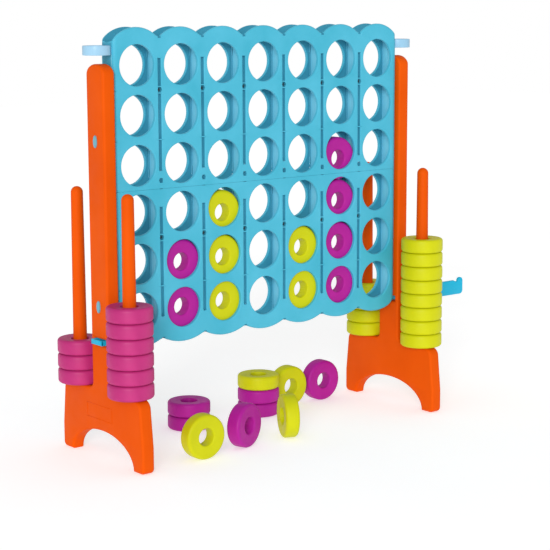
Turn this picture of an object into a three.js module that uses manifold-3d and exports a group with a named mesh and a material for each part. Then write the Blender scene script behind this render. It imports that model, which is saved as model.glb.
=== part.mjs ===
// Giant four in a row: a lawn game with a 7 by 6 grid board on two legs,
// four ring posts, a pull-out release gate and 42 rings.
// Millimetres, +Z up, front of the board towards -Y, standing on z = 0.

import * as THREE from 'three';
import { mergeVertices } from 'three/addons/utils/BufferGeometryUtils.js';
import Module from 'manifold-3d';

const wasm = await Module();
wasm.setup();

// ---------- driving dimensions ----------
const COLUMNS = 7;
const ROWS = 6;
const COLUMN_PITCH = 146;
const ROW_PITCH = 136.5;
const GRID_Z = 748;            // height of the middle of the grid, where the halves meet
const GAP = 0.3;               // clearance kept between neighbouring pieces
const OVERLAP = 1;             // joined solids overlap, and cuts pass a surface, by this much

const HOLE_R = 57;             // round windows in the panels
const BOARD_DEPTH = 62;        // front face to rear face
const PANEL_WALL = 7.5;
const END_X = 515.4;           // outer face of the board's end walls
const END_WALL = 7.9;
const DIVIDER = 7;             // wall between two columns
const DIVIDER_TOP_Z = 1150;
const END_WALL_TOP_Z = 1140;
const TOP_LOBE_R = 103;        // scallops of the top edge, concentric with the top windows
const BOTTOM_LOBE_R = 150;     // flatter scallops of the bottom edge
const BOTTOM_EDGE_Z = 308;     // lowest point of the bottom scallops
const CORNER = 14;             // bevel at the outer ends of the scalloped edges
const LOBE_STEPS = 6;          // straight steps along one scallop

const RING_R = 64;
const RING_BORE_R = 25;
const RING_HEIGHT = 42;

const LEG_INNER_X = 518.4;
const LEG_THICKNESS = 38.6;
const FOOT_HALF_DEPTH = 204;
const FOOT_TOP_HALF_DEPTH = 193; // the foot narrows a little towards its top
const FOOT_SIDE_Z = 70;        // height where it starts to narrow
const FOOT_TOP_Z = 200;
const ARCH_HALF_WIDTH = 154;
const ARCH_HEIGHT = 82;
const UPRIGHT_HALF_DEPTH = 43;
const UPRIGHT_TOP_Z = 1095;
const UPRIGHT_DOME = 28;
const POST_X = 541;            // a little outside the middle of the foot
const POST_Y = 127;
const POST_TIP_Z = 755;
const POST_BASE_R = 21;
const POST_TIP_R = 17;
const SPIGOT_R = 10;
const SPIGOT_DEPTH = 45;
const SPIGOT_END_GAP = 1.3;    // free depth left under a spigot in its socket

const GATE_LEFT_X = -568;
const GATE_RIGHT_X = 844.7;
const GATE_RAIL_Y = 27;        // outer face of the gate's rails
const GATE_RAIL = 3;
const GATE_HEIGHT = 14;
const GATE_RUNG = 8;
const GATE_RUNG_HEIGHT = 10;
const GATE_STOP = 5;           // bar across the rails at the left end
const GATE_CLEAR = 1;          // clearance around the rails in their grooves
const GATE_DIVIDER_GAP = 3;    // from the gate's top to the dividers above it
const TONGUE_END = 20;         // how far the tongue reaches out of the right leg
const HANDLE_START = 12;       // how far outside the right leg the handle starts
const HANDLE_THICKNESS = 10;
const HANDLE_LOW_Z = 313;
const HANDLE_HIGH_Z = 368;
const HANDLE_LIP_R = 11;       // round lip at the handle's tip
const HANDLE_CORNER = 12;
const HANDLE_DROP = 8;         // the plate's top edge is this much lower than the lip
const HANDLE_DIP = 6;          // width and depth of the dip between plate and lip

const HOOP_X = 548;
const HOOP_Z = 1131;
const HOOP_R = 38;
const HOOP_BORE_R = 26;
const HOOP_WALL = 10;          // band thickness on the outer side
const HOOP_HEIGHT = 26;

const PLUG_Z = [887, 433];
const PLUG_HEAD = [16, 34];    // width and height of the oval head
const PLUG_SHANK = [8, 24];
const PLUG_HEAD_THICKNESS = 4;
const PLUG_BITE = 6;           // how far a plug's shank enters the board's end wall

// Rings on the posts, in the columns and on the ground: how many, and their colour.
const POST_STACKS = [
  { name: 'rear_left', side: -1, y: POST_Y, count: 3, colour: 'purple' },
  { name: 'front_left', side: -1, y: -POST_Y, count: 6, colour: 'purple' },
  { name: 'front_right', side: 1, y: -POST_Y, count: 8, colour: 'yellow' },
  { name: 'rear_right', side: 1, y: POST_Y, count: 4, colour: 'yellow' },
];
const COLUMN_STACKS = [
  { column: 2, count: 2, colour: 'purple' },
  { column: 3, count: 3, colour: 'yellow' },
  { column: 5, count: 2, colour: 'yellow' },
  { column: 6, count: 4, colour: 'purple' },
];
const GROUND_FLAT = [
  { name: 'purple_ground_a', x: -160, y: 138, level: 0, colour: 'purple' },
  { name: 'purple_ground_b', x: -160, y: 138, level: 1, colour: 'purple' },
  { name: 'purple_ground_c', x: 104, y: 138, level: 0, colour: 'purple' },
  { name: 'purple_ground_d', x: 104, y: 138, level: 1, colour: 'purple' },
  { name: 'yellow_ground_e', x: 104, y: 138, level: 2, colour: 'yellow' },
];
const GROUND_STANDING = [
  { name: 'purple_ground_g', x: 372, y: 160, turn: 0, colour: 'purple' },
  { name: 'yellow_ground_h', x: 238, y: 160, turn: 0, colour: 'yellow' },
  { name: 'purple_ground_i', x: -165, y: -140, turn: 20, colour: 'purple' },
  { name: 'yellow_ground_j', x: 0, y: -137, turn: 65, colour: 'yellow' },
  { name: 'yellow_ground_k', x: -330, y: -165, turn: 0, colour: 'yellow' },
];

// ---------- materials ----------
const BLUE = { color: 0x4fb9da, roughness: 0.38, metalness: 0 };
const PALE_BLUE = { color: 0x9bd3ea, roughness: 0.35, metalness: 0 };
const CYAN = { color: 0x12a5cc, roughness: 0.4, metalness: 0 };
const ORANGE = { color: 0xf0600c, roughness: 0.42, metalness: 0 };
const RING_COLOURS = {
  purple: { color: 0xb0209a, roughness: 0.4, metalness: 0 },
  yellow: { color: 0xd2d600, roughness: 0.4, metalness: 0 },
};

// ---------- derived places ----------
const HALF_DEPTH = BOARD_DEPTH / 2;
const SLOT_HALF = HALF_DEPTH - PANEL_WALL;
const SEAM = GAP / 2;
const LEG_OUTER_X = LEG_INNER_X + LEG_THICKNESS;
const RAIL_GROOVE_Y = GATE_RAIL_Y + GATE_CLEAR;
const GATE_TOP_Z = rowZ(ROWS) - RING_R - GAP;
const RIB_BOTTOM_Z = GATE_TOP_Z + GATE_DIVIDER_GAP;
const GROOVE_BOTTOM_Z = GATE_TOP_Z - GATE_HEIGHT - GATE_CLEAR;
// The gate's handle reaches further out than the ring stacks on the left, so the
// board stands left of the middle of the whole game's box.
const BOARD_X = (POST_X + RING_R - GATE_RIGHT_X) / 2;

const group = new THREE.Group();
group.position.x = BOARD_X;

function columnX(column) {
  return (column - (COLUMNS + 1) / 2) * COLUMN_PITCH;
}

function rowZ(row) {
  return GRID_Z + ((ROWS + 1) / 2 - row) * ROW_PITCH;
}

// ---------- solids: join, cut and place ----------
function toSolid(geometry) {
  const bare = geometry.clone();
  bare.deleteAttribute('normal');
  bare.deleteAttribute('uv');
  const merged = mergeVertices(bare, 1e-3);
  return new wasm.Manifold(new wasm.Mesh({
    numProp: 3,
    vertProperties: new Float32Array(merged.attributes.position.array),
    triVerts: new Uint32Array(merged.index.array),
  }));
}

function toGeometry(solid) {
  const mesh = solid.getMesh();
  const geometry = new THREE.BufferGeometry();
  geometry.setAttribute('position', new THREE.BufferAttribute(mesh.vertProperties, 3));
  geometry.setIndex(new THREE.BufferAttribute(mesh.triVerts, 1));
  geometry.computeVertexNormals();
  return geometry;
}

function join(geometries) {
  return geometries.map(toSolid).reduce((whole, piece) => whole.add(piece));
}

function addPiece(name, geometry, look) {
  const mesh = new THREE.Mesh(geometry, new THREE.MeshStandardMaterial(look));
  mesh.name = name;
  group.add(mesh);
  return mesh;
}

// A box from its lowest corner to its highest corner.
function boxBetween(low, high) {
  const size = high.map((value, axis) => value - low[axis]);
  const middle = high.map((value, axis) => (value + low[axis]) / 2);
  return new THREE.BoxGeometry(...size).translate(...middle);
}

// A loop's points, wound the stated way, without those that repeat the one before,
// as where one arc ends and the next starts.
function loopPoints(points, clockwise) {
  const distinct = points.filter((point, i) => {
    const before = points[(i + points.length - 1) % points.length];
    return point.distanceTo(before) > 1e-3;
  });
  return THREE.ShapeUtils.isClockWise(distinct) === clockwise ? distinct : distinct.reverse();
}

function extrude(shape, depth, curveSegments) {
  const { shape: edge, holes } = shape.extractPoints(curveSegments);
  const plain = new THREE.Shape(loopPoints(edge, false));
  plain.holes = holes.map((hole) => new THREE.Path(loopPoints(hole, true)));
  return new THREE.ExtrudeGeometry(plain, { depth, bevelEnabled: false });
}

// Extrudes a shape drawn in (x, z) along y, from y0 to y1.
function extrudeAlongY(shape, y0, y1, curveSegments) {
  return extrude(shape, y1 - y0, curveSegments).rotateX(Math.PI / 2).translate(0, y1, 0);
}

// Extrudes a shape drawn in (y, z) along x, from x0 to x1.
function extrudeAlongX(shape, x0, x1, curveSegments) {
  const turn = new THREE.Matrix4().set(0, 0, 1, x0, 1, 0, 0, 0, 0, 1, 0, 0, 0, 0, 0, 1);
  return extrude(shape, x1 - x0, curveSegments).applyMatrix4(turn);
}

function ovalHole(y, z, width, height) {
  return new THREE.Path().absellipse(y, z, width / 2, height / 2, 0, 2 * Math.PI, true);
}

// ---------- board panels ----------
// Runs along the scalloped edge from left to right: direction 1 bulges up, -1 down.
function traceScallops(shape, radius, centreZ, direction) {
  for (let column = 1; column <= COLUMNS; column += 1) {
    const x = columnX(column);
    const left = column === 1 ? -END_X + CORNER : x - COLUMN_PITCH / 2;
    const right = column === COLUMNS ? END_X - CORNER : x + COLUMN_PITCH / 2;
    const start = Math.acos((left - x) / radius);
    const end = Math.acos((right - x) / radius);
    for (let step = 0; step <= LOBE_STEPS; step += 1) {
      const angle = start + ((end - start) * step) / LOBE_STEPS;
      shape.lineTo(x + radius * Math.cos(angle), centreZ + direction * radius * Math.sin(angle));
    }
  }
}

function cornerZ(radius, centreZ, direction) {
  const reach = END_X - CORNER - columnX(COLUMNS);
  return centreZ + direction * (Math.sqrt(radius * radius - reach * reach) - CORNER);
}

function upperOutline() {
  const centreZ = rowZ(1);
  const low = GRID_Z + SEAM;
  const cornerStart = cornerZ(TOP_LOBE_R, centreZ, 1);
  const shape = new THREE.Shape();
  shape.moveTo(-END_X, low);
  shape.lineTo(-END_X, cornerStart);
  traceScallops(shape, TOP_LOBE_R, centreZ, 1);
  shape.lineTo(END_X, cornerStart);
  shape.lineTo(END_X, low);
  shape.closePath();
  return shape;
}

function lowerOutline() {
  const centreZ = BOTTOM_EDGE_Z + BOTTOM_LOBE_R;
  const high = GRID_Z - SEAM;
  const cornerStart = cornerZ(BOTTOM_LOBE_R, centreZ, -1);
  const shape = new THREE.Shape();
  shape.moveTo(-END_X, high);
  shape.lineTo(-END_X, cornerStart);
  traceScallops(shape, BOTTOM_LOBE_R, centreZ, -1);
  shape.lineTo(END_X, cornerStart);
  shape.lineTo(END_X, high);
  shape.closePath();
  return shape;
}

function panelFace(outline, firstRow, lastRow, y0, y1) {
  for (let column = 1; column <= COLUMNS; column += 1) {
    for (let row = firstRow; row <= lastRow; row += 1) {
      const hole = new THREE.Path();
      hole.absarc(columnX(column), rowZ(row), HOLE_R, 0, 2 * Math.PI, true);
      outline.holes.push(hole);
    }
  }
  return extrudeAlongY(outline, y0, y1, 8);
}

// Walls on the inside of a panel: one between each pair of columns, and one at each end.
function panelRibs(lowZ, highZ, y0, y1) {
  const ribs = [];
  for (let column = 1; column < COLUMNS; column += 1) {
    const x = columnX(column) + COLUMN_PITCH / 2;
    ribs.push(boxBetween([x - DIVIDER / 2, y0, lowZ], [x + DIVIDER / 2, y1, highZ]));
  }
  for (const side of [-1, 1]) {
    const inner = side * (END_X - END_WALL);
    const outer = side * END_X;
    const low = [Math.min(inner, outer), y0, lowZ];
    const high = [Math.max(inner, outer), y1, Math.min(highZ, END_WALL_TOP_Z)];
    ribs.push(boxBetween(low, high));
  }
  return ribs;
}

function plugPocket(side, z) {
  const [width, height] = PLUG_SHANK;
  const shape = new THREE.Shape().absellipse(0, z, width / 2 + GAP, height / 2 + GAP, 0, 2 * Math.PI);
  const depth = PLUG_BITE + GAP;
  const x0 = side > 0 ? END_X - depth : -END_X - OVERLAP;
  return extrudeAlongX(shape, x0, x0 + depth + OVERLAP, 8);
}

function boardPanel(side, half) {
  const upper = half === 'upper';
  const outline = upper ? upperOutline() : lowerOutline();
  const rows = upper ? [1, ROWS / 2] : [ROWS / 2 + 1, ROWS];
  const faceY = side < 0 ? [-HALF_DEPTH, -SLOT_HALF] : [SLOT_HALF, HALF_DEPTH];
  const ribY = side < 0 ? [-SLOT_HALF - OVERLAP, -SEAM] : [SEAM, SLOT_HALF + OVERLAP];
  const ribZ = upper ? [GRID_Z + SEAM, DIVIDER_TOP_Z] : [RIB_BOTTOM_Z, GRID_Z - SEAM];
  const face = panelFace(outline, rows[0], rows[1], faceY[0], faceY[1]);
  let solid = join([face, ...panelRibs(ribZ[0], ribZ[1], ribY[0], ribY[1])]);
  for (const end of [-1, 1]) {
    solid = solid.subtract(toSolid(plugPocket(end, PLUG_Z[upper ? 0 : 1])));
  }
  if (!upper) {
    const inner = SLOT_HALF - OVERLAP;
    const y = side < 0 ? [-RAIL_GROOVE_Y, -inner] : [inner, RAIL_GROOVE_Y];
    const low = [-END_X - OVERLAP, y[0], GROOVE_BOTTOM_Z];
    const high = [END_X + OVERLAP, y[1], RIB_BOTTOM_Z];
    solid = solid.subtract(toSolid(boxBetween(low, high)));
  }
  return toGeometry(solid);
}

// ---------- legs ----------
// Side outline in (y, z): a foot with an arch under it and an upright with a domed top.
function legOutline() {
  const toe = 14;
  const shoulder = 26;
  const fillet = 18;
  const foot = FOOT_HALF_DEPTH;
  const shoulderY = FOOT_TOP_HALF_DEPTH - shoulder;
  const up = UPRIGHT_HALF_DEPTH;
  const domeZ = UPRIGHT_TOP_Z - UPRIGHT_DOME;
  const shape = new THREE.Shape();
  shape.moveTo(ARCH_HALF_WIDTH, 0);
  shape.lineTo(foot - toe, 0);
  shape.absarc(foot - toe, toe, toe, -Math.PI / 2, 0, false);
  shape.lineTo(foot, FOOT_SIDE_Z);
  shape.absarc(shoulderY, FOOT_TOP_Z - shoulder, shoulder, 0, Math.PI / 2, false);
  shape.absarc(up + fillet, FOOT_TOP_Z + fillet, fillet, -Math.PI / 2, -Math.PI, true);
  shape.absellipse(0, domeZ, up, UPRIGHT_DOME, 0, Math.PI, false);
  shape.absarc(-up - fillet, FOOT_TOP_Z + fillet, fillet, 0, -Math.PI / 2, true);
  shape.absarc(-shoulderY, FOOT_TOP_Z - shoulder, shoulder, Math.PI / 2, Math.PI, false);
  shape.lineTo(-foot, FOOT_SIDE_Z);
  shape.absarc(toe - foot, toe, toe, Math.PI, 1.5 * Math.PI, false);
  shape.lineTo(-ARCH_HALF_WIDTH, 0);
  shape.absellipse(0, 0, ARCH_HALF_WIDTH, ARCH_HEIGHT, Math.PI, 0, true);
  for (const z of PLUG_Z) {
    shape.holes.push(ovalHole(0, z, PLUG_SHANK[0] + 2 * GAP, PLUG_SHANK[1] + 2 * GAP));
  }
  shape.holes.push(gateSlot());
  return shape;
}

function gateSlot() {
  const y = RAIL_GROOVE_Y;
  const low = GROOVE_BOTTOM_Z - GATE_CLEAR;
  const high = GATE_TOP_Z + GATE_CLEAR;
  const slot = new THREE.Path();
  slot.moveTo(-y, low);
  slot.lineTo(-y, high);
  slot.lineTo(y, high);
  slot.lineTo(y, low);
  slot.closePath();
  return slot;
}

function leg(side) {
  const x0 = side < 0 ? -LEG_OUTER_X : LEG_INNER_X;
  let solid = toSolid(extrudeAlongX(legOutline(), x0, x0 + LEG_THICKNESS, 6));
  for (const end of [-1, 1]) {
    const boreR = SPIGOT_R + GAP;
    const socket = new THREE.CylinderGeometry(boreR, boreR, SPIGOT_DEPTH + 2 * OVERLAP, 16);
    socket.rotateX(Math.PI / 2);
    socket.translate(side * POST_X, end * POST_Y, FOOT_TOP_Z + OVERLAP - SPIGOT_DEPTH / 2);
    solid = solid.subtract(toSolid(socket));
  }
  return toGeometry(solid);
}

// ---------- ring posts ----------
// Turned profile in (radius, z): spigot, tapering shaft and round tip.
function ringPost() {
  const domeZ = POST_TIP_Z - POST_TIP_R;
  const spigotEndZ = FOOT_TOP_Z - SPIGOT_DEPTH + SPIGOT_END_GAP;
  const points = [
    new THREE.Vector2(0, spigotEndZ),
    new THREE.Vector2(SPIGOT_R, spigotEndZ),
    new THREE.Vector2(SPIGOT_R, FOOT_TOP_Z + GAP),
    new THREE.Vector2(POST_BASE_R, FOOT_TOP_Z + GAP),
  ];
  const steps = 4;
  for (let step = 0; step < steps; step += 1) {
    const angle = (step / steps) * (Math.PI / 2);
    points.push(new THREE.Vector2(POST_TIP_R * Math.cos(angle), domeZ + POST_TIP_R * Math.sin(angle)));
  }
  points.push(new THREE.Vector2(0, POST_TIP_Z));
  return new THREE.LatheGeometry(points, 16).rotateX(Math.PI / 2);
}

// ---------- release gate ----------
// A ladder: a rung under the middle of each column, rails in the panels' grooves,
// and a plate with an upturned lip as the handle on the right.
function releaseGate() {
  const top = GATE_TOP_Z;
  const low = top - GATE_HEIGHT;
  const rungs = [];
  for (let column = 1; column <= COLUMNS; column += 1) {
    const x = columnX(column);
    const from = [x - GATE_RUNG / 2, -GATE_RAIL_Y, top - GATE_RUNG_HEIGHT];
    rungs.push(boxBetween(from, [x + GATE_RUNG / 2, GATE_RAIL_Y, top]));
  }
  const railEnd = columnX(COLUMNS) + GATE_RUNG / 2;
  const rails = [-1, 1].map((side) => {
    const outer = side * GATE_RAIL_Y;
    const inner = side * (GATE_RAIL_Y - GATE_RAIL);
    const y = [Math.min(outer, inner), Math.max(outer, inner)];
    return boxBetween([GATE_LEFT_X, y[0], low], [railEnd, y[1], top]);
  });
  const stopX = GATE_LEFT_X + GATE_STOP;
  const stop = boxBetween([GATE_LEFT_X, -GATE_RAIL_Y, low], [stopX, GATE_RAIL_Y, top]);
  const half = HANDLE_THICKNESS / 2;
  const tongueX = LEG_OUTER_X + TONGUE_END;
  const tongue = boxBetween([railEnd - OVERLAP, -half, low], [tongueX, half, top]);
  const plate = extrudeAlongY(handleOutline(), -half, half, 6);
  return toGeometry(join([...rungs, ...rails, stop, tongue, plate]));
}

function handleOutline() {
  const left = LEG_OUTER_X + HANDLE_START;
  const tip = GATE_RIGHT_X;
  const lipX = tip - HANDLE_LIP_R;
  const lipZ = HANDLE_HIGH_Z - HANDLE_LIP_R;
  const plateZ = HANDLE_HIGH_Z - HANDLE_DROP;
  const dipX = lipX - HANDLE_LIP_R - HANDLE_DIP;
  const shape = new THREE.Shape();
  shape.moveTo(left, HANDLE_LOW_Z);
  shape.lineTo(tip - HANDLE_CORNER, HANDLE_LOW_Z);
  shape.lineTo(tip, HANDLE_LOW_Z + HANDLE_CORNER);
  shape.absarc(lipX, lipZ, HANDLE_LIP_R, 0, Math.PI, false);
  shape.lineTo(dipX, plateZ - HANDLE_DIP);
  shape.lineTo(dipX - 2 * HANDLE_DIP, plateZ);
  shape.lineTo(left, plateZ);
  shape.closePath();
  return shape;
}

// ---------- corner hoops ----------
// Ring band with a vertical axis, cut flat where it meets the board's end wall.
function cornerHoop(side) {
  const wallX = END_X + GAP - HOOP_X;
  const meet = Math.acos(-wallX / HOOP_R);
  const shape = new THREE.Shape();
  shape.absarc(0, 0, HOOP_R, Math.PI + meet, 3 * Math.PI - meet, false);
  shape.closePath();
  const boreX = HOOP_R - HOOP_WALL - HOOP_BORE_R;
  shape.holes.push(new THREE.Path().absarc(boreX, 0, HOOP_BORE_R, 0, 2 * Math.PI, true));
  const hoop = extrude(shape, HOOP_HEIGHT, 12);
  if (side < 0) {
    hoop.rotateZ(Math.PI);
  }
  return hoop.translate(side * HOOP_X, 0, HOOP_Z - HOOP_HEIGHT / 2);
}

// ---------- locking plugs ----------
function lockingPlug(side, z) {
  const shank = new THREE.Shape().absellipse(0, z, PLUG_SHANK[0] / 2, PLUG_SHANK[1] / 2, 0, 2 * Math.PI);
  const head = new THREE.Shape().absellipse(0, z, PLUG_HEAD[0] / 2, PLUG_HEAD[1] / 2, 0, 2 * Math.PI);
  const tipX = END_X - PLUG_BITE;
  const seatX = LEG_OUTER_X + GAP;
  const pieces = [
    extrudeAlongX(shank, tipX, seatX + OVERLAP, 8),
    extrudeAlongX(head, seatX, seatX + PLUG_HEAD_THICKNESS, 8),
  ];
  const plug = toGeometry(join(pieces));
  return side > 0 ? plug : plug.rotateZ(Math.PI);
}

// ---------- rings ----------
// Lathed ring with its axis along z, resting on z = 0. Its flats are at the true radius.
function ringGeometry() {
  const sides = 16;
  const toCorner = 1 / Math.cos(Math.PI / sides);
  const inner = RING_BORE_R * toCorner;
  const outer = RING_R * toCorner;
  const profile = [[inner, 0], [outer, 0], [outer, RING_HEIGHT], [inner, RING_HEIGHT], [inner, 0]];
  const points = profile.map(([r, z]) => new THREE.Vector2(r, z));
  const ring = new THREE.LatheGeometry(points, sides);
  return ring.rotateX(Math.PI / 2).rotateZ(Math.PI / sides);
}

function flatRing(name, x, y, z, colour) {
  addPiece(name, ringGeometry(), RING_COLOURS[colour]).position.set(x, y, z);
}

// Stands the ring on its edge, its axis along y at first, then turned about z.
function standingRing(name, x, y, z, turn, colour) {
  const geometry = ringGeometry().translate(0, 0, -RING_HEIGHT / 2).rotateX(Math.PI / 2);
  const mesh = addPiece(name, geometry, RING_COLOURS[colour]);
  mesh.position.set(x, y, z);
  mesh.rotation.z = THREE.MathUtils.degToRad(turn);
}

// ---------- assembly ----------
for (const [name, side] of [['front_panel', -1], ['rear_panel', 1]]) {
  for (const half of ['upper', 'lower']) {
    addPiece(`${name}_${half}`, boardPanel(side, half), BLUE);
  }
}
addPiece('release_gate', releaseGate(), CYAN);

for (const [name, side] of [['left', -1], ['right', 1]]) {
  addPiece(`${name}_leg`, leg(side), ORANGE);
  addPiece(`${name}_corner_hoop`, cornerHoop(side), PALE_BLUE);
  addPiece(`${name}_upper_plug`, lockingPlug(side, PLUG_Z[0]), PALE_BLUE);
  addPiece(`${name}_lower_plug`, lockingPlug(side, PLUG_Z[1]), PALE_BLUE);
}

for (const stack of POST_STACKS) {
  const x = stack.side * POST_X;
  addPiece(`${stack.name}_post`, ringPost(), ORANGE).position.set(x, stack.y, 0);
  for (let n = 0; n < stack.count; n += 1) {
    const z = FOOT_TOP_Z + GAP + n * (RING_HEIGHT + GAP);
    flatRing(`${stack.colour}_${stack.name}_${n + 1}`, x, stack.y, z, stack.colour);
  }
}

for (const stack of COLUMN_STACKS) {
  for (let n = 0; n < stack.count; n += 1) {
    const z = rowZ(ROWS) + n * (2 * RING_R + GAP);
    const name = `${stack.colour}_column${stack.column}_${n + 1}`;
    standingRing(name, columnX(stack.column), 0, z, 0, stack.colour);
  }
}

for (const ring of GROUND_FLAT) {
  flatRing(ring.name, ring.x, ring.y, ring.level * (RING_HEIGHT + GAP), ring.colour);
}
for (const ring of GROUND_STANDING) {
  standingRing(ring.name, ring.x, ring.y, RING_R, ring.turn, ring.colour);
}

export default group;
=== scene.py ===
import math

import bmesh
import bpy
from mathutils import Matrix, Vector


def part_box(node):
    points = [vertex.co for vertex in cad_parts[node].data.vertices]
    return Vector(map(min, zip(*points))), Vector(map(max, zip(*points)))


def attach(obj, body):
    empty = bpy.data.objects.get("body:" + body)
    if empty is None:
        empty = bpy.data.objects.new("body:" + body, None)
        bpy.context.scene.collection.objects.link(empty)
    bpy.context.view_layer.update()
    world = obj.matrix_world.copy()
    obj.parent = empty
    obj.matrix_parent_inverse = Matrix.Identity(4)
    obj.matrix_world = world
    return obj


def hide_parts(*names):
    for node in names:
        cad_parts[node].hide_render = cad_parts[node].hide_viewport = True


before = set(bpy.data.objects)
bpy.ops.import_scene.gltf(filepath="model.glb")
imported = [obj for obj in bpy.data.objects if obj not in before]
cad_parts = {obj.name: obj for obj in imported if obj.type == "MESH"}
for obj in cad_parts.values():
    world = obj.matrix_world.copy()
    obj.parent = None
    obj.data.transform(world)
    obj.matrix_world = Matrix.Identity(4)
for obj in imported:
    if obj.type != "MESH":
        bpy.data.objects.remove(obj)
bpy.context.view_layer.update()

MM = 0.001


# ---------- driving dimensions, in metres ----------
COLUMNS = 7
ROWS = 6
HALF_ROWS = ROWS // 2          # rows in the upper half of the board, and in the lower
COLUMN_PITCH = 146 * MM
ROW_PITCH = 136.5 * MM
WINDOW_R = 57 * MM             # a window's inner edge
LIP_WIDTH = 3 * MM             # a window's edge is rounded over this width
LIP_DEPTH = 2 * MM
COLLAR_WIDTH = 3.4 * MM        # a collar stands round each window on the inside of its panel
COLLAR_HEIGHT = 2.2 * MM
COLLAR_SLOPE = 0.5 * MM
FLAT_BORDER = 0.6 * MM         # narrow strips beside the roundings, which keep the face flat
PLATE = 7.5 * MM               # thickness of a panel's wall
PANEL_GAP = 0.15 * MM          # half the gap where two panels meet
TOP_LOBE_R = 103 * MM
BOTTOM_LOBE_R = 150 * MM
SLIT_HALF = 5 * MM             # half width of the slits between columns
SLIT_DEPTH = 12 * MM
SLIT_END = 19 * MM             # slits reach this far past the centres of a half's outer windows
SLIT_EDGE_R = 3 * MM
LOBE_EDGE_R = 5 * MM
END_EDGE_R = 13 * MM
SEAM_EDGE_R = 0.5 * MM
ROUND_EDGE_R = 0.8 * MM        # edge of the round holes at the slits
SCREW_HOLE_R = 7 * MM
EYE_R = 6.5 * MM
EYE_RISE = 23 * MM             # the round eyes stand this far above the seam
WINDOW_STEPS = 64
LIP_STEPS = 4
EDGE_STEPS = 5
TOP_CORNER_SHARPNESS = 26      # how sharply the scallops meet the ends: less is rounder
BOTTOM_CORNER_SHARPNESS = 8
ROUND_SHARES = (-0.999, -0.8, -0.5, -0.2, 0.1, 0.4, 0.7, 0.9, 0.999)  # rays across a round hole
DIVIDER_HALF = 3.5 * MM
DIVIDER_TOP_Z = 1150 * MM
DIVIDER_RISE = 37.45 * MM      # dividers start this far above the board's lowest point
END_WALL_TOP_Z = 1140 * MM
END_WALL_BACK = 7.9 * MM       # the end walls lie between these distances from the board's ends
END_WALL_FRONT = 0.3 * MM
SEAM_MARGIN = 0.8 * MM         # fillings of the slits stop this far from the seam
BRIDGE_SINK = 0.4 * MM         # the small bridges across a slit: depth below the face,
BRIDGE_HALF = 1.4 * MM         # half their height,
BRIDGE_CLEAR = 2 * MM          # and how far they stand from a screw hole
RING_R = 64 * MM
RING_BORE_R = 25 * MM
RING_HEIGHT = 42 * MM
GATE_CLEAR = 0.3 * MM          # rings in the columns stand this far above the gate

# ---------- places read from the parts in model.glb ---
FACE_LOW, FACE_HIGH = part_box("front_panel_upper")
LOWER_LOW, LOWER_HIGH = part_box("front_panel_lower")
BOARD_X = (FACE_LOW.x + FACE_HIGH.x) / 2
END_X = (FACE_HIGH.x - FACE_LOW.x) / 2
FRONT_Y = FACE_LOW.y
REAR_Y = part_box("rear_panel_upper")[1].y
FACE_HALF = (REAR_Y - FRONT_Y) / 2 - PANEL_GAP
SEAM_Z = (FACE_LOW.z + LOWER_HIGH.z) / 2
BOTTOM_Z = LOWER_LOW.z
GATE_LOW, GATE_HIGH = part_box("release_gate")
LEG_OUTER_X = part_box("right_leg")[1].x


def column_x(column):
    return BOARD_X + (column - (COLUMNS + 1) / 2) * COLUMN_PITCH


def row_z(row):
    return SEAM_Z + ((ROWS + 1) / 2 - row) * ROW_PITCH


def half_rows(upper):
    """First and last row of the board's upper or lower half."""
    return (1, HALF_ROWS) if upper else (HALF_ROWS + 1, ROWS)


GATE_TOP_Z = row_z(ROWS) - RING_R - GATE_CLEAR


# ---------- materials ----------
def ramp(tree, factor, stops):
    node = tree.nodes.new("ShaderNodeValToRGB")
    elements = node.color_ramp.elements
    while len(elements) < len(stops):
        elements.new(0.5)
    for element, (place, colour) in zip(elements, stops):
        element.position = place
        element.color = (*colour, 1)
    tree.links.new(factor, node.inputs["Fac"])
    return node.outputs["Color"]


def noise(tree, place, scale, detail):
    node = tree.nodes.new("ShaderNodeTexNoise")
    node.inputs["Scale"].default_value = scale
    node.inputs["Detail"].default_value = detail
    tree.links.new(place, node.inputs["Vector"])
    return node.outputs["Fac"]


def moulded_plastic(name, dark, light, gloss, grain, mottle=9.0, shine=0.3):
    """Moulded plastic: soft mottling in the colour, uneven gloss and a fine moulded grain."""
    material = bpy.data.materials.new(name)
    material.use_nodes = True
    tree = material.node_tree
    shader = tree.nodes["Principled BSDF"]
    place = tree.nodes.new("ShaderNodeTexCoord").outputs["Object"]
    colour = ramp(tree, noise(tree, place, mottle, 3), [(0.3, dark), (0.7, light)])
    tree.links.new(colour, shader.inputs["Base Color"])
    low, high = gloss
    rough = ramp(tree, noise(tree, place, mottle * 6, 4), [(0.3, (low,) * 3), (0.7, (high,) * 3)])
    tree.links.new(rough, shader.inputs["Roughness"])
    bump = tree.nodes.new("ShaderNodeBump")
    bump.inputs["Strength"].default_value = grain
    bump.inputs["Distance"].default_value = 0.0006
    tree.links.new(noise(tree, place, 900, 5), bump.inputs["Height"])
    tree.links.new(bump.outputs["Normal"], shader.inputs["Normal"])
    shader.inputs["IOR"].default_value = 1.48
    shader.inputs["Specular IOR Level"].default_value = shine
    return material


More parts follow.
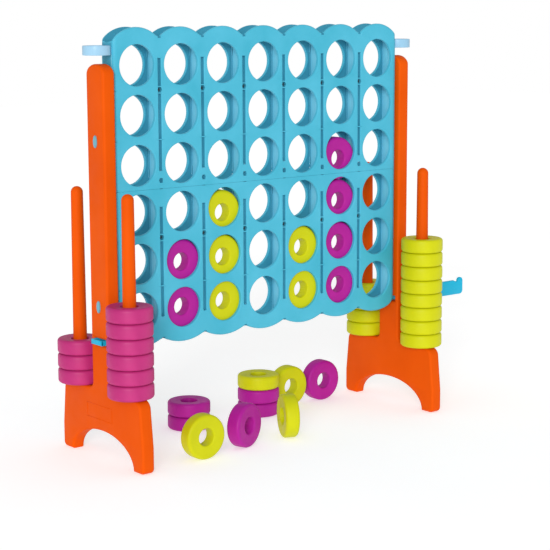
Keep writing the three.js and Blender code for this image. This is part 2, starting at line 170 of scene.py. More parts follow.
BOARD_BLUE = moulded_plastic("board_blue", (0.045, 0.4, 0.55), (0.075, 0.46, 0.63), (0.36, 0.5), 0.12)
# Painted light: a lighter copy of the board's blue for the sideways faces of the dividers, slit fillings,
# bridges and end walls inside the board.
BOARD_PAINTED_LIGHT = moulded_plastic("board_painted_light", (0.15, 0.55, 0.72), (0.2, 0.62, 0.8), (0.36, 0.5), 0.12)
# Painted shade: a darker copy of the board's blue for the plates' inner faces, the walls of slits and round
# holes, the fronts of dividers and slit backings, and the board's outer end walls.
BOARD_PAINTED_SHADE = moulded_plastic("board_painted_shade", (0.04, 0.29, 0.42), (0.06, 0.35, 0.49), (0.55, 0.7), 0.2)
PALE_BLUE = moulded_plastic("pale_blue", (0.27, 0.5, 0.68), (0.33, 0.56, 0.74), (0.24, 0.36), 0.06)
GATE_CYAN = moulded_plastic("gate_cyan", (0.0, 0.38, 0.6), (0.005, 0.44, 0.68), (0.3, 0.42), 0.08)
LEG_ORANGE = moulded_plastic("leg_orange", (0.68, 0.075, 0.0), (0.76, 0.093, 0.001), (0.45, 0.6), 0.15,
                             5.0, 0.06)
PLUG_TEAL = moulded_plastic("plug_teal", (0.12, 0.34, 0.42), (0.17, 0.4, 0.5), (0.35, 0.5), 0.06)
RING_MAGENTA = moulded_plastic("ring_magenta", (0.37, 0.011, 0.13), (0.52, 0.03, 0.19), (0.4, 0.55), 0.15)
RING_PURPLE = moulded_plastic("ring_purple", (0.35, 0.006, 0.24), (0.44, 0.012, 0.3), (0.4, 0.55), 0.15,
                              9.0, 0.2)
RING_YELLOW = moulded_plastic("ring_yellow", (0.51, 0.52, 0.0), (0.59, 0.6, 0.002), (0.4, 0.55), 0.15,
                              9.0, 0.2)
# Partly the dark metal of the screw heads, partly painted shade in the screw holes: a near-black blue.
SCREW_STEEL_AND_SHADE = moulded_plastic("screw_steel_and_shade", (0.012, 0.03, 0.04), (0.03, 0.05, 0.06), (0.4, 0.6), 0.1)
RING_LOOKS = {"purple": RING_PURPLE, "yellow": RING_YELLOW}
POSTS = ("front_left", "rear_left", "front_right", "rear_right")


# ---------- mesh helpers ----------
def new_piece(name, mesh, material, smooth_angle=32):
    mesh.shade_smooth()
    mesh.set_sharp_from_angle(angle=math.radians(smooth_angle))
    if not mesh.materials:
        mesh.materials.append(material)
    piece = bpy.data.objects.new(name, mesh)
    bpy.context.scene.collection.objects.link(piece)
    return piece


def mesh_from(name, bm):
    mesh = bpy.data.meshes.new(name)
    bm.to_mesh(mesh)
    bm.free()
    return mesh


def add_box(bm, low, high, bevel=0.0):
    """A box from its low to its high corner, with its edges bevelled if asked. It returns the faces
    of a box that isn't bevelled."""
    low, high = Vector(low), Vector(high)
    middle = Matrix.Translation((low + high) / 2)
    made = bmesh.ops.create_cube(bm, size=1, matrix=middle @ Matrix.Diagonal((*(high - low), 1)))
    if bevel:
        edges = {edge for vert in made["verts"] for edge in vert.link_edges}
        bmesh.ops.bevel(bm, geom=list(edges), offset=bevel, segments=2, profile=0.5, affect="EDGES")
        return []
    return {face for vert in made["verts"] for face in vert.link_faces}


def arc(cx, cy, radius, start, end, steps):
    """Points of an arc, from start to end in degrees. radius is one number or a pair for an ellipse."""
    rx, ry = radius if isinstance(radius, tuple) else (radius, radius)
    turns = [math.radians(start + (end - start) * step / steps) for step in range(steps + 1)]
    return [(cx + rx * math.cos(turn), cy + ry * math.sin(turn)) for turn in turns]


def sheet_mesh(name, outlines, thickness, bevel, to_place):
    """A plate cut to the outlines (the first is its edge, the others are holes), with rounded edges.
    It is drawn in its own x and y, thickness / 2 to each side, and to_place puts it in its place."""
    curve = bpy.data.curves.new(name, "CURVE")
    curve.dimensions = "2D"
    curve.fill_mode = "BOTH"
    curve.extrude = thickness / 2 - bevel
    curve.bevel_depth = bevel
    curve.bevel_resolution = 3
    curve.offset = -bevel
    for points in outlines:
        spline = curve.splines.new("POLY")
        spline.points.add(len(points) - 1)
        for point, (x, y) in zip(spline.points, points):
            point.co = (x, y, 0, 1)
        spline.use_cyclic_u = True
    holder = bpy.data.objects.new(name, curve)
    mesh = bpy.data.meshes.new_from_object(holder)
    bpy.data.objects.remove(holder)
    bm = bmesh.new()
    bm.from_mesh(mesh)
    bpy.data.meshes.remove(mesh)
    bmesh.ops.remove_doubles(bm, verts=bm.verts, dist=1e-5)
    bmesh.ops.recalc_face_normals(bm, faces=bm.faces)
    bm.transform(to_place)
    if to_place.determinant() < 0:
        bmesh.ops.reverse_faces(bm, faces=bm.faces)
    return mesh_from(name, bm)


def turned_mesh(name, profile, steps, closed):
    """Turns a profile of (radius, z) points about z. A closed profile makes a ring."""
    bm = bmesh.new()
    loops = []
    for step in range(steps):
        turn = 2 * math.pi * step / steps
        loops.append([bm.verts.new((r * math.cos(turn), r * math.sin(turn), z)) for r, z in profile])
    last = len(profile) if closed else len(profile) - 1
    for step in range(steps):
        here, there = loops[step], loops[(step + 1) % steps]
        for i in range(last):
            k = (i + 1) % len(profile)
            bm.faces.new((here[i], there[i], there[k], here[k]))
    bmesh.ops.remove_doubles(bm, verts=bm.verts, dist=1e-6)
    bmesh.ops.recalc_face_normals(bm, faces=bm.faces)
    return mesh_from(name, bm)


# ---------- board panels ----------
def smooth_min(distances, sharpness):
    """The smallest distance, rounded off where two are nearly alike."""
    return sum(d ** -sharpness for d in distances) ** (-1 / sharpness)


def round_holes(row, upper):
    """(height from the window's centre, radius) of the round holes on a cell's side edges."""
    first = half_rows(upper)[0]
    if row == first:
        return [(-ROW_PITCH / 2, SCREW_HOLE_R)]
    if row == first + 1:
        return [(ROW_PITCH / 2, SCREW_HOLE_R)]
    if upper:
        return [(SEAM_Z + EYE_RISE - row_z(row), EYE_R)]
    return []


def level_edge(rise, at_seam):
    """Distance along a ray to a cell's upper or lower edge, and what that edge is."""
    half = ROW_PITCH / 2 - (PANEL_GAP if at_seam else 0)
    return half / rise, "seam" if at_seam else "row"


class Cell:
    """The part of a panel around one window: how far it reaches from the window's centre."""

    def __init__(self, column, row, upper):
        self.x = column_x(column)
        self.z = row_z(row)
        self.left_end = column == 1
        self.right_end = column == COLUMNS
        self.top_edge = row == 1
        self.bottom_edge = row == ROWS
        self.seam_below = upper and row == HALF_ROWS
        self.seam_above = not upper and row == HALF_ROWS + 1
        inner = COLUMN_PITCH / 2 - SLIT_HALF
        self.outer = END_X - (COLUMNS - 1) / 2 * COLUMN_PITCH
        self.left = self.outer if self.left_end else inner
        self.right = self.outer if self.right_end else inner
        self.rounds = []
        for side, at_end in ((-1, self.left_end), (1, self.right_end)):
            if not at_end:
                self.rounds += [(side * COLUMN_PITCH / 2, rise, r) for rise, r in round_holes(row, upper)]

    def reach(self, turn):
        """(distance to the cell's edge, what the edge is) along a ray."""
        c, s = math.cos(turn), math.sin(turn)
        tiny = 1e-9
        soft, hard = [], []
        if c > tiny:
            (soft if self.right_end else hard).append((self.right / c, "end" if self.right_end else "slit"))
        if c < -tiny:
            (soft if self.left_end else hard).append((self.left / -c, "end" if self.left_end else "slit"))
        if s > tiny:
            if self.top_edge:
                soft.append((TOP_LOBE_R, "lobe"))
            else:
                hard.append(level_edge(s, self.seam_above))
        if s < -tiny:
            if self.bottom_edge:
                drop = BOTTOM_Z + BOTTOM_LOBE_R - self.z
                far = drop * s + math.sqrt(BOTTOM_LOBE_R ** 2 - (drop * c) ** 2)
                soft.append((far, "lobe"))
            else:
                hard.append(level_edge(-s, self.seam_below))
        for across, rise, radius in self.rounds:
            along = across * c + rise * s
            inside = along * along - across * across - rise * rise + radius * radius
            if along > 0 and inside > 0:
                hard.append((along - math.sqrt(inside), "round"))
        choices = list(hard)
        if soft:
            nearest, kind = min(soft)
            sharpness = BOTTOM_CORNER_SHARPNESS if self.bottom_edge else TOP_CORNER_SHARPNESS
            far = smooth_min([d for d, _ in soft], sharpness) if len(soft) > 1 else nearest
            choices.append((far, kind))
        return min(choices, key=lambda choice: (round(choice[0], 7), choice[1] != "end"))

    def corner_turns(self):
        """Rays that the mesh needs besides the even ones: those through corners and slit ends."""
        up = math.sqrt(TOP_LOBE_R ** 2 - self.right ** 2) if self.top_edge else ROW_PITCH / 2
        turns = []
        for side, across in ((1, self.right), (-1, self.left)):
            for rise in (up, ROW_PITCH / 2, -ROW_PITCH / 2):
                turns.append(math.atan2(rise, side * across))
            for rise in (SLIT_END, -SLIT_END, SLIT_END + 1.5 * MM, -SLIT_END - 1.5 * MM):
                turns.append(math.atan2(rise, side * across))
        for across, rise, radius in self.rounds:
            spread = math.asin(radius / math.hypot(across, rise))
            middle = math.atan2(rise, across)
            turns += [middle + spread * share for share in ROUND_SHARES]
        for side, across in ((1, self.right), (-1, self.left)):
            if self.bottom_edge:
                drop = BOTTOM_Z + BOTTOM_LOBE_R - self.z
                deep = math.sqrt(BOTTOM_LOBE_R ** 2 - across ** 2) - drop
                turns.append(math.atan2(-deep, side * across))
        return turns


def in_slit(z):
    """Whether the height z lies beside one of the slits."""
    for first, last in (half_rows(True), half_rows(False)):
        if row_z(last) - SLIT_END <= z <= row_z(first) + SLIT_END:
            return True
    return False


def edge_rounding(kind, z):
    """(radius of the front edge, depth of the wall behind it) for one kind of edge."""
    if kind == "slit":
        return (SLIT_EDGE_R, SLIT_DEPTH) if in_slit(z) else (0.0, PLATE)
    if kind == "round":
        return ROUND_EDGE_R, SLIT_DEPTH
    if kind == "lobe":
        return LOBE_EDGE_R, PLATE
    if kind == "end":
        return 0.0, FACE_HALF
    if kind == "seam":
        return SEAM_EDGE_R, PLATE
    return 0.0, 0.0


def round_depth(gap, radius):
    """How far a face has sunk at a distance gap from an edge that is rounded to a radius."""
    if gap >= radius:
        return 0.0
    run = radius - max(gap, 0.0)
    return radius - math.sqrt(radius * radius - run * run)


def ray_profile(cell, turn):
    """(radius, depth behind the panel's face) from the back of the plate round to its front edge,
    and whether the wall at that edge takes the painted shade, the darker blue on the walls of slits, round
    holes and the board's ends."""
    reach, kind = cell.reach(turn)
    z = cell.z + reach * math.sin(turn)
    edge, wall = edge_rounding(kind, z)
    flat_start = WINDOW_R + LIP_WIDTH + FLAT_BORDER
    flat_end = reach - edge
    across = math.cos(turn)
    to_end = (across > 0 and cell.right_end) or (across < 0 and cell.left_end)
    if to_end:
        flat_end = max(flat_start + FLAT_BORDER, min(flat_end, (cell.outer - END_EDGE_R) / abs(across)))
    collar = PLATE + COLLAR_HEIGHT
    profile = [(reach, PLATE), (WINDOW_R + COLLAR_WIDTH + COLLAR_SLOPE, PLATE)]
    profile += [(WINDOW_R + COLLAR_WIDTH, collar), (WINDOW_R, collar)]
    for step in range(LIP_STEPS + 1):
        angle = step / LIP_STEPS * math.pi / 2
        radius = WINDOW_R + LIP_WIDTH * (1 - math.cos(angle))
        profile.append((radius, LIP_DEPTH * (1 - math.sin(angle))))
    profile += [(flat_start, 0.0), (flat_end - FLAT_BORDER, 0.0), (flat_end, 0.0)]
    for step in range(1, EDGE_STEPS + 1):
        radius = flat_end + (reach - flat_end) * math.sin(step / EDGE_STEPS * math.pi / 2)
        sunk = round_depth(reach - radius, edge)
        if to_end:
            sunk = max(sunk, round_depth(cell.outer - radius * abs(across), END_EDGE_R))
        profile.append((radius, sunk))
    profile.append((reach, max(wall, profile[-1][1])))
    return profile, kind in ("slit", "round", "end")


def add_cell(bm, cell, face_y, inward):
    even = [2 * math.pi * step / WINDOW_STEPS for step in range(WINDOW_STEPS)]
    extra = [turn % (2 * math.pi) for turn in cell.corner_turns()]
    turns = sorted(set(round(turn, 6) for turn in even + extra))
    rays, dark = [], []
    for turn in turns:
        c, s = math.cos(turn), math.sin(turn)
        profile, painted_shade_wall = ray_profile(cell, turn)
        dark.append(painted_shade_wall)
        rays.append([bm.verts.new((cell.x + r * c, face_y + inward * depth, cell.z + r * s))
                     for r, depth in profile])
    last = len(rays[0]) - 2
    for k, here in enumerate(rays):
        there = rays[(k + 1) % len(rays)]
        for i in range(last + 1):
            corners = (here[i], here[i + 1], there[i + 1], there[i])
            face = bm.faces.new(corners if inward > 0 else corners[::-1])
            # Index 1 is the painted shade: the plate's inner face and the walls of slits, round holes and
            # the board's ends.
            face.material_index = 1 if i == 0 or (i == last and dark[k]) else 0


def panel_mesh(name, face_y, inward, upper):
    """One half of one side of the board."""
    bm = bmesh.new()
    first, last = half_rows(upper)
    for column in range(1, COLUMNS + 1):
        for row in range(first, last + 1):
            add_cell(bm, Cell(column, row, upper), face_y, inward)
    bmesh.ops.remove_doubles(bm, verts=bm.verts, dist=2e-6)
    bmesh.ops.dissolve_degenerate(bm, edges=bm.edges, dist=1e-6)
    add_divider_walls(bm, face_y, inward, upper)
    mesh = mesh_from(name, bm)
    mesh.materials.append(BOARD_BLUE)
    mesh.materials.append(BOARD_PAINTED_SHADE)
    mesh.materials.append(BOARD_PAINTED_LIGHT)
    return mesh


def depth_box(bm, face_y, inward, x, depth, z, painted_shade_front=False):
    """A box given by its x, depth behind the face and z ranges. Its sideways faces take the painted light
    of a lighter blue, and if asked its front and back faces take the painted shade of a darker blue.
    """
    ys = sorted(face_y + inward * d for d in depth)
    for face in add_box(bm, (x[0], ys[0], z[0]), (x[1], ys[1], z[1])):
        face.normal_update()
        # Faces turned sideways take the painted light, the lighter blue.
        if abs(face.normal.x) > 0.9:
            face.material_index = 2
        elif painted_shade_front and abs(face.normal.y) > 0.9:
            face.material_index = 1


def add_divider_walls(bm, face_y, inward, upper):
    """The walls between columns, the end walls' inner faces, and the bridges across the slits."""
    first, last = half_rows(upper)
    slit_high, slit_low = row_z(first) + SLIT_END, row_z(last) - SLIT_END
    low = SEAM_Z + PANEL_GAP if upper else BOTTOM_Z + DIVIDER_RISE
    high = DIVIDER_TOP_Z if upper else SEAM_Z - PANEL_GAP
    to_slit = COLUMN_PITCH / 2 - SLIT_HALF
    valley_top = row_z(1) + math.sqrt(TOP_LOBE_R ** 2 - to_slit ** 2)
    valley_drop = math.sqrt(BOTTOM_LOBE_R ** 2 - to_slit ** 2)
    valley_bottom = BOTTOM_Z + BOTTOM_LOBE_R - valley_drop
    face_high = valley_top - LOBE_EDGE_R if upper else SEAM_Z - SEAM_MARGIN
    face_low = SEAM_Z + SEAM_MARGIN if upper else valley_bottom + LOBE_EDGE_R
    for column in range(1, COLUMNS):
        x = column_x(column) + COLUMN_PITCH / 2
        wall = (x - DIVIDER_HALF, x + DIVIDER_HALF)
        slot = (x - SLIT_HALF, x + SLIT_HALF)
        backing = (slot[0] - MM, slot[1] + MM)
        # The dividers and the backings of the slits carry painted shade on their front faces.
        depth_box(bm, face_y, inward, wall, (SLIT_DEPTH - MM, FACE_HALF), (low, high), True)
        depth_box(bm, face_y, inward, backing, (SLIT_DEPTH - 2 * MM, SLIT_DEPTH), (low, high), True)
        depth_box(bm, face_y, inward, slot, (0, SLIT_DEPTH), (slit_high - MM, face_high))
        if upper:
            eye_z = SEAM_Z + EYE_RISE
            depth_box(bm, face_y, inward, slot, (0, SLIT_DEPTH), (face_low, eye_z - EYE_R))
            depth_box(bm, face_y, inward, slot, (0, SLIT_DEPTH), (eye_z + EYE_R, slit_low))
        else:
            depth_box(bm, face_y, inward, slot, (0, SLIT_DEPTH), (face_low, slit_low))
        screw_z = (row_z(first) + row_z(first + 1)) / 2
        middle_z = (row_z(last) + row_z(last - 1)) / 2
        for z in (middle_z, screw_z - SCREW_HOLE_R - BRIDGE_CLEAR, screw_z + SCREW_HOLE_R + BRIDGE_CLEAR):
            bridge = (z - BRIDGE_HALF, z + BRIDGE_HALF)
            depth_box(bm, face_y, inward, slot, (BRIDGE_SINK, SLIT_DEPTH), bridge)
    for side in (-1, 1):
        xs = sorted(BOARD_X + side * (END_X - back) for back in (END_WALL_BACK, END_WALL_FRONT))
        depth_box(bm, face_y, inward, xs, (PLATE - MM, FACE_HALF), (low, min(high, END_WALL_TOP_Z)))


def screw_places():
    """Screw centres on one face: one between the first two rows of each half, at each divider."""
    for column in range(1, COLUMNS):
        for first in (1, HALF_ROWS + 1):
            yield column_x(column) + COLUMN_PITCH / 2, (row_z(first) + row_z(first + 1)) / 2


def facing(face_y, inward, x, z):
    """Puts a turned mesh's z axis along the outward direction of a panel's face at (x, z)."""
    tilt = Matrix.Rotation(math.radians(90 * inward), 4, "X")
    return Matrix.Translation((x, face_y, z)) @ tilt


def screw_heads(name, face_y, inward):
    """Pan heads with a dimple in the middle, sunk in their holes."""
    bm = bmesh.new()
    head = [(0.0, -6.6), (0.6, -6.6), (2.6, -5.4), (4.2, -6.2), (4.9, -8.5), (4.9, -10.5), (0.0, -10.5)]
    for x, z in screw_places():
        part = turned_mesh(name, [(r * MM, h * MM) for r, h in head], 20, False)
        part.transform(facing(face_y, inward, x, z))
        bm.from_mesh(part)
        bpy.data.meshes.remove(part)
    return mesh_from(name, bm)


for side, face_y, inward in (("front", FRONT_Y, 1), ("rear", REAR_Y, -1)):
    for half in ("upper", "lower"):
        node = f"{side}_panel_{half}"
        mesh = panel_mesh(node, face_y, inward, half == "upper")
        panel = new_piece(f"{node}_shell", mesh, BOARD_BLUE, 24)
        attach(panel, "root")
        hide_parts(node)
    screws = new_piece(f"{side}_screws", screw_heads("screws", face_y, inward), SCREW_STEEL_AND_SHADE)
    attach(screws, "root")


# ---------- legs ----------
LEG_BEVEL = 7 * MM
ARCH_HALF_WIDTH = 154 * MM
ARCH_HEIGHT = 82 * MM
FOOT_TOP_Z = 200 * MM
FOOT_TOP_HALF_DEPTH = 193 * MM
FOOT_SIDE_Z = 70 * MM
UPRIGHT_HALF_DEPTH = 43 * MM
UPRIGHT_DOME = 28 * MM
TOE_R = 14 * MM
SHOULDER_R = 26 * MM
FILLET_R = 18 * MM             # where the foot meets the upright
GATE_SLOT_HALF = 28 * MM       # half the depth of the slot that the gate slides through
GATE_SLOT_DROP = 16 * MM       # how far the slot reaches below the gate's top
GATE_SLOT_RISE = MM
BADGE_Y = (-52 * MM, 72 * MM)
BADGE_Z = (112 * MM, 152 * MM)
BADGE_BAR = 2.5 * MM
BADGE_IN = 0.5 * MM            # how far the frame goes into the foot, and how far it stands out
BADGE_OUT = 0.8 * MM
BADGE_BEVEL = 0.4 * MM
TO_YZ = Matrix(((0, 0, 1, 0), (1, 0, 0, 0), (0, 1, 0, 0), (0, 0, 0, 1)))


def leg_outlines(high):
    """The leg's side view in (y, z): its edge and the slot that the gate slides through."""
    foot = high.y
    up = UPRIGHT_HALF_DEPTH
    dome_z = high.z - UPRIGHT_DOME
    half = arc(foot - TOE_R, TOE_R, TOE_R, -90, 0, 6) + [(foot, FOOT_SIDE_Z)]
    half += arc(FOOT_TOP_HALF_DEPTH - SHOULDER_R, FOOT_TOP_Z - SHOULDER_R, SHOULDER_R, 0, 90, 8)
    half += arc(up + FILLET_R, FOOT_TOP_Z + FILLET_R, FILLET_R, -90, -180, 6)
    half += arc(0, dome_z, (up, UPRIGHT_DOME), 0, 90, 12)
    arch = arc(0, 0, (ARCH_HALF_WIDTH, ARCH_HEIGHT), 180, 0, 36)
    edge = half + [(-y, z) for y, z in reversed(half[:-1])] + arch
    deep, slot_low, slot_high = GATE_SLOT_HALF, GATE_TOP_Z - GATE_SLOT_DROP, GATE_TOP_Z + GATE_SLOT_RISE
    slot = [(-deep, slot_low), (-deep, slot_high), (deep, slot_high), (deep, slot_low)]
    return [edge, slot]


for side in ("left", "right"):
    node = f"{side}_leg"
    low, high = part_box(node)
    to_place = Matrix.Translation(((low.x + high.x) / 2, 0, 0)) @ TO_YZ
    mesh = sheet_mesh(node, leg_outlines(high), high.x - low.x, LEG_BEVEL, to_place)
    leg = new_piece(f"{node}_moulding", mesh, LEG_ORANGE, 40)
    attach(leg, "root")
    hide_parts(node)


def badge_frame(x, outward):
    """A plain raised rectangular frame on the outside of a foot."""
    bm = bmesh.new()
    (y_low, y_high), (z_low, z_high), bar = BADGE_Y, BADGE_Z, BADGE_BAR
    xs = sorted((x - outward * BADGE_IN, x + outward * BADGE_OUT))
    for z in (z_low, z_high):
        add_box(bm, (xs[0], y_low, z), (xs[1], y_high, z + bar), BADGE_BEVEL)
    for y in (y_low, y_high):
        add_box(bm, (xs[0], y - bar, z_low), (xs[1], y, z_high + bar), BADGE_BEVEL)
    return mesh_from("badge", bm)


badge = new_piece("left_foot_badge_frame", badge_frame(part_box("left_leg")[0].x, -1), LEG_ORANGE)
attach(badge, "root")


# ---------- ring posts ----------
POST_TAPER = 4 * MM
POST_RISE = 0.3 * MM           # the shaft starts this far above the foot
COLLAR_EDGE = 0.8 * MM


def post_profile(height, base_r, tip_r):
    """Radius and height above the foot: a moulded collar, a tapering shaft and a round tip."""
    collar = [(0, 0), (base_r, 0), (base_r, 3 * MM), (base_r - COLLAR_EDGE, 4 * MM)]
    dome = arc(0, height - tip_r, tip_r, 0, 90, 10)
    return collar + dome[:-1] + [(0, height)]


for place in POSTS:
    node = f"{place}_post"
    low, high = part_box(node)
    base_z = FOOT_TOP_Z + POST_RISE
    base_r = (high.x - low.x) / 2
    mesh = turned_mesh(node, post_profile(high.z - base_z, base_r, base_r - POST_TAPER), 40, False)
    mesh.transform(Matrix.Translation(((low.x + high.x) / 2, (low.y + high.y) / 2, base_z)))
    post = new_piece(f"{node}_shaft", mesh, LEG_ORANGE)
    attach(post, "root")
    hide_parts(node)


# ---------- release gate ----------
HANDLE_THICKNESS = 10 * MM
HANDLE_START = 12 * MM         # the plate starts this far outside the right leg
HANDLE_LIP_R = 11 * MM
HANDLE_CORNER = 12 * MM
HANDLE_DROP = 8 * MM           # the plate's top lies this far below the lip's
HANDLE_DIP = 6 * MM
HANDLE_EDGE_R = 2.5 * MM
RAIL_HEIGHT = 14 * MM
RAIL_THICKNESS = 3 * MM
RAIL_Y = 27 * MM               # outer face of the rails
RAIL_BEVEL = 0.8 * MM
RUNG_HEIGHT = 10 * MM
RUNG_HALF = 4 * MM
RUNG_BEVEL = 1.2 * MM
END_BAR = 5 * MM
TONGUE_END = 20 * MM           # the tongue reaches this far outside the right leg


def handle_outline():
    """The handle's plate and its upturned lip, in (x, z)."""
    left = LEG_OUTER_X + HANDLE_START
    tip, low, high = GATE_HIGH.x, GATE_LOW.z, GATE_HIGH.z
    lip, corner, dip = HANDLE_LIP_R, HANDLE_CORNER, HANDLE_DIP
    plate = high - HANDLE_DROP
    dip_x = tip - 2 * lip - dip
    points = [(left, low)] + arc(tip - corner, low + corner, corner, -90, 0, 6)
    points += arc(tip - lip, high - lip, lip, 0, 180, 12)
    points += [(dip_x, plate - dip), (dip_x - dip, plate - dip / 2), (dip_x - 2 * dip, plate)]
    return points + [(left, plate)]


def gate_mesh():
    """A ladder with a rung under each column, a tongue through the leg and the handle."""
    bm = bmesh.new()
    top, low = GATE_TOP_Z, GATE_TOP_Z - RAIL_HEIGHT
    rail_end = column_x(COLUMNS) + RUNG_HALF
    for column in range(1, COLUMNS + 1):
        x = column_x(column)
        rung_low = (x - RUNG_HALF, -RAIL_Y, top - RUNG_HEIGHT)
        add_box(bm, rung_low, (x + RUNG_HALF, RAIL_Y, top), RUNG_BEVEL)
    for ys in ((-RAIL_Y, RAIL_THICKNESS - RAIL_Y), (RAIL_Y - RAIL_THICKNESS, RAIL_Y)):
        add_box(bm, (GATE_LOW.x, ys[0], low), (rail_end, ys[1], top), RAIL_BEVEL)
    add_box(bm, (GATE_LOW.x, -RAIL_Y, low), (GATE_LOW.x + END_BAR, RAIL_Y, top), RUNG_BEVEL)
    half = HANDLE_THICKNESS / 2
    add_box(bm, (rail_end - MM, -half, low), (LEG_OUTER_X + TONGUE_END, half, top), RUNG_BEVEL)
    to_place = Matrix.Rotation(math.radians(90), 4, "X")
    plate = sheet_mesh("plate", [handle_outline()], HANDLE_THICKNESS, HANDLE_EDGE_R, to_place)
    bm.from_mesh(plate)
    bpy.data.meshes.remove(plate)
    return mesh_from("gate", bm)


gate = new_piece("release_gate_moulding", gate_mesh(), GATE_CYAN)
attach(gate, "release_gate")
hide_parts("release_gate")


# ---------- corner hoops and locking plugs ----------
HOOP_WALL = 5 * MM
HOOP_EDGE_R = 1.6 * MM
PLUG_HEAD = 4.3 * MM
PLUG_DOME = [(0, 0), (1, 0), (1, 0.45), (0.93, 0.8), (0.75, 0.97), (0.4, 1), (0.3, 0.93), (0, 0.9)]


def hoop_outlines(low, high, side):
    """The hoop's band seen from above: a round outside cut flat at the board, and a round bore."""
    radius = (high.y - low.y) / 2
    wall_x = low.x if side > 0 else high.x
    centre = (high.x - radius) if side > 0 else (low.x + radius)
    meet = math.degrees(math.acos(max(-1.0, min(1.0, abs(wall_x - centre) / radius))))
    outside = arc(0, 0, radius, -180 + meet, 180 - meet, 48)
    inside = arc(0, 0, radius - HOOP_WALL, 0, 352.5, 47)
    return [[(centre + side * x, y) for x, y in points] for points in (outside, inside)]


for side, sign in (("left", -1), ("right", 1)):
    node = f"{side}_corner_hoop"
    low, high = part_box(node)
    to_place = Matrix.Translation((0, 0, (low.z + high.z) / 2))
    outlines = hoop_outlines(low, high, sign)
    mesh = sheet_mesh(node, outlines, high.z - low.z, HOOP_EDGE_R, to_place)
    hoop = new_piece(f"{node}_band", mesh, PALE_BLUE)
    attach(hoop, "root")
    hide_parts(node)
    for place in ("upper", "lower"):
        node = f"{side}_{place}_plug"
        low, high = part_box(node)
        mesh = turned_mesh(node, [(r, h * PLUG_HEAD) for r, h in PLUG_DOME], 36, False)
        half_y, half_z = (high.y - low.y) / 2, (high.z - low.z) / 2
        outward = Matrix(((0, 0, sign, 0), (half_y, 0, 0, 0), (0, half_z, 0, 0), (0, 0, 0, 1)))
        seat_x = high.x - PLUG_HEAD if sign > 0 else low.x + PLUG_HEAD
        mesh.transform(Matrix.Translation((seat_x, 0, (low.z + high.z) / 2)) @ outward)
        if sign < 0:
            mesh.flip_normals()
        plug = new_piece(f"{node}_head", mesh, PLUG_TEAL)
        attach(plug, "root")
        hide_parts(node)


# ---------- rings ----------
RING_RIM_R = 8.5 * MM
RING_LIP_R = 4 * MM
RING_DIP = 1.6 * MM            # how far the face has sunk at the bore
RING_TURNS = {"purple_ground_i": 20, "yellow_ground_j": 65}   # degrees about z of rings set askew
RING_SPIN = 2.399              # radians between the rings' turns about their own axes


def ring_profile():
    """Closed outline of a ring's section: rounded rims and a face that dips towards the bore."""
    rim, lip, dip, half = RING_RIM_R, RING_LIP_R, RING_DIP, RING_HEIGHT / 2
    quarter = arc(RING_R - rim, half - rim, rim, 0, 90, 6)
    quarter += [(RING_R - 14 * MM, half - 0.3 * MM), (RING_BORE_R + lip + 4 * MM, half - dip)]
    quarter += arc(RING_BORE_R + lip, half - dip - lip, lip, 90, 180, 4)
    return quarter + [(r, -z) for r, z in reversed(quarter)]


RING_MESHES = {}


def ring_mesh(colour):
    if colour not in RING_MESHES:
        RING_MESHES[colour] = turned_mesh(f"{colour}_ring", ring_profile(), 72, True)
    return RING_MESHES[colour]


def ring_axis(low, high):
    """The ring's axis from its box: z where it lies flat, y where it stands on its edge."""
    flat = high.z - low.z < 1.5 * RING_HEIGHT
    return Vector((0, 0, 1)) if flat else Vector((0, 1, 0))


ring_nodes = sorted(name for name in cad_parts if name.split("_")[0] in RING_LOOKS)
for index, node in enumerate(ring_nodes):
    low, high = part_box(node)
    colour = node.split("_")[0]
    on_post = colour == "purple" and any(post in node for post in POSTS)
    look = RING_MAGENTA if on_post else RING_LOOKS[colour]
    mesh = ring_mesh(colour).copy()
    turn = Matrix.Rotation(index * RING_SPIN, 4, "Z")
    stand = Vector((0, 0, 1)).rotation_difference(ring_axis(low, high)).to_matrix().to_4x4()
    yaw = Matrix.Rotation(math.radians(RING_TURNS.get(node, 0)), 4, "Z")
    mesh.transform(yaw @ stand @ turn)
    ring = new_piece(f"{node}_body", mesh, look)
    ring.location = (low + high) / 2
    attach(ring, node)
    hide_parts(node)


# ---------- floor, lights and camera ----------
DOME_STRENGTH = 0.64
KEY_FROM = (-44, 15)           # azimuth from the front (-Y) and height of the key light, degrees
KEY_STRENGTH = 1.75
KEY_SOFTNESS = 22              # apparent size in degrees
CAMERA_AT = (BOARD_X - 2.927, -3.746, 1.255)
CAMERA_YAW = 38.58             # degrees to the right of straight ahead (+Y)
CAMERA_DROP = 9.46             # degrees below level
CAMERA_ROLL = 0.19
CAMERA_LENS = 106.9


def floor_material():
    material = bpy.data.materials.new("floor_white")
    material.use_nodes = True
    tree = material.node_tree
    shader = tree.nodes["Principled BSDF"]
    place = tree.nodes.new("ShaderNodeTexCoord").outputs["Object"]
    colour = ramp(tree, noise(tree, place, 1.5, 2), [(0.3, (0.77, 0.77, 0.77)), (0.7, (0.79, 0.79, 0.79))])
    tree.links.new(colour, shader.inputs["Base Color"])
    shader.inputs["Roughness"].default_value = 1.0
    shader.inputs["Specular IOR Level"].default_value = 0.0
    shader.inputs["Emission Color"].default_value = (1, 1, 1, 1)
    shader.inputs["Emission Strength"].default_value = 0.42
    return material


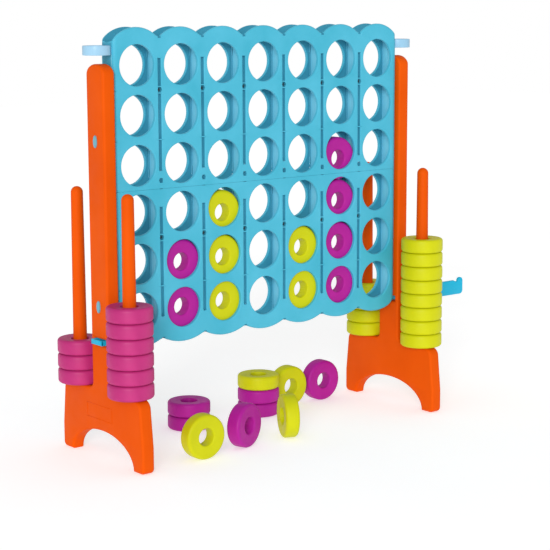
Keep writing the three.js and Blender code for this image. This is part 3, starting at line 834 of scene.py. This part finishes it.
bm = bmesh.new()
bmesh.ops.create_grid(bm, x_segments=8, y_segments=8, size=14)
floor = new_piece("floor", mesh_from("floor", bm), floor_material())
floor.location.z = -0.5 * MM

world = bpy.data.worlds.new("studio")
world.use_nodes = True
tree = world.node_tree
dome = tree.nodes["Background"]
dome.inputs["Color"].default_value = (1, 1, 1, 1)
dome.inputs["Strength"].default_value = DOME_STRENGTH
seen = tree.nodes.new("ShaderNodeBackground")
seen.inputs["Color"].default_value = (1, 1, 1, 1)
seen.inputs["Strength"].default_value = 1.0
blend = tree.nodes.new("ShaderNodeMixShader")
tree.links.new(tree.nodes.new("ShaderNodeLightPath").outputs["Is Camera Ray"], blend.inputs["Fac"])
tree.links.new(dome.outputs[0], blend.inputs[1])
tree.links.new(seen.outputs[0], blend.inputs[2])
tree.links.new(blend.outputs[0], tree.nodes["World Output"].inputs["Surface"])
bpy.context.scene.world = world


def key_light():
    light = bpy.data.lights.new("key", "SUN")
    light.energy = KEY_STRENGTH
    light.angle = math.radians(KEY_SOFTNESS)
    lamp = bpy.data.objects.new("key", light)
    bpy.context.scene.collection.objects.link(lamp)
    around, up = math.radians(KEY_FROM[0]), math.radians(KEY_FROM[1])
    source = Vector((math.sin(around) * math.cos(up), -math.cos(around) * math.cos(up), math.sin(up)))
    lamp.location = 4 * source
    lamp.rotation_euler = source.to_track_quat("Z", "Y").to_euler()


key_light()


def main_camera():
    yaw, drop = math.radians(CAMERA_YAW), math.radians(CAMERA_DROP)
    camera = bpy.data.cameras.new("camera")
    camera.lens = CAMERA_LENS
    camera.sensor_width = 36
    holder = bpy.data.objects.new("camera", camera)
    bpy.context.scene.collection.objects.link(holder)
    look = Vector((math.sin(yaw) * math.cos(drop), math.cos(yaw) * math.cos(drop), -math.sin(drop)))
    turn = look.to_track_quat("-Z", "Y").to_matrix().to_4x4()
    roll = Matrix.Rotation(math.radians(-CAMERA_ROLL), 4, "Z")
    holder.matrix_world = Matrix.Translation(CAMERA_AT) @ turn @ roll
    return holder


bpy.context.scene.camera = main_camera()
bpy.context.scene.view_settings.view_transform = "Standard"
